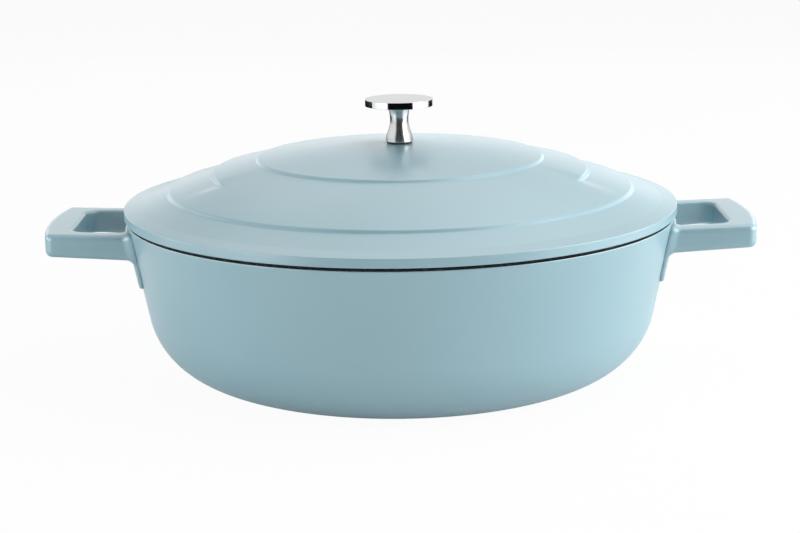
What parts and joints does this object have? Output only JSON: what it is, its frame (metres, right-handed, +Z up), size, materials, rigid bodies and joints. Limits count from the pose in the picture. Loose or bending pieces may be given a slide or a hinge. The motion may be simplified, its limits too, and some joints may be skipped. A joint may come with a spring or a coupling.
{
  "type": "saute pan",
  "caption": "Shallow round cast saute pan with loop side handles, a dark non-stick lining and a stepped domed lid that lifts off by a steel disc knob.",
  "frame": {"origin": "middle of the flat base, on the surface that the pan stands on", "axes": "+X towards the right handle, +Y away from the viewer, +Z up along the pan's axis"},
  "size_m": [0.3744, 0.292, 0.1447],
  "materials": {
    "pan_enamel": "satin pale blue enamel paint",
    "lid_enamel": "satin pale blue enamel paint",
    "nonstick": "black non-stick coating",
    "base_steel": "turned steel",
    "polished_steel": "mirror polished stainless steel",
    "brushed_steel": "stainless steel, turned top and polished rim",
    "rivet_aluminium": "satin",
    "gasket_silicone": "matt black silicone"
  },
  "bodies": {
    "pan": {"pan_shell": "pan_enamel", "nonstick_lining": "nonstick", "induction_disc": "base_steel", "left_handle": "pan_enamel", "right_handle": "pan_enamel", "left_handle_front_rivet": "rivet_aluminium", "left_handle_rear_rivet": "rivet_aluminium", "right_handle_front_rivet": "rivet_aluminium", "right_handle_rear_rivet": "rivet_aluminium"},
    "lid": {"lid_shell": "lid_enamel", "lid_lining": "nonstick", "knob_gasket": "gasket_silicone", "knob_stem": "polished_steel", "knob_disc": "brushed_steel", "screw_washer": "polished_steel", "spring_washer": "polished_steel", "knob_screw": "polished_steel"}
  },
  "joints": [
    {"name": "lid_lift", "type": "slide", "parent": "pan", "child": "lid", "axis": [0, 0, 1], "range_m": [0, 0.2]}
  ]
}
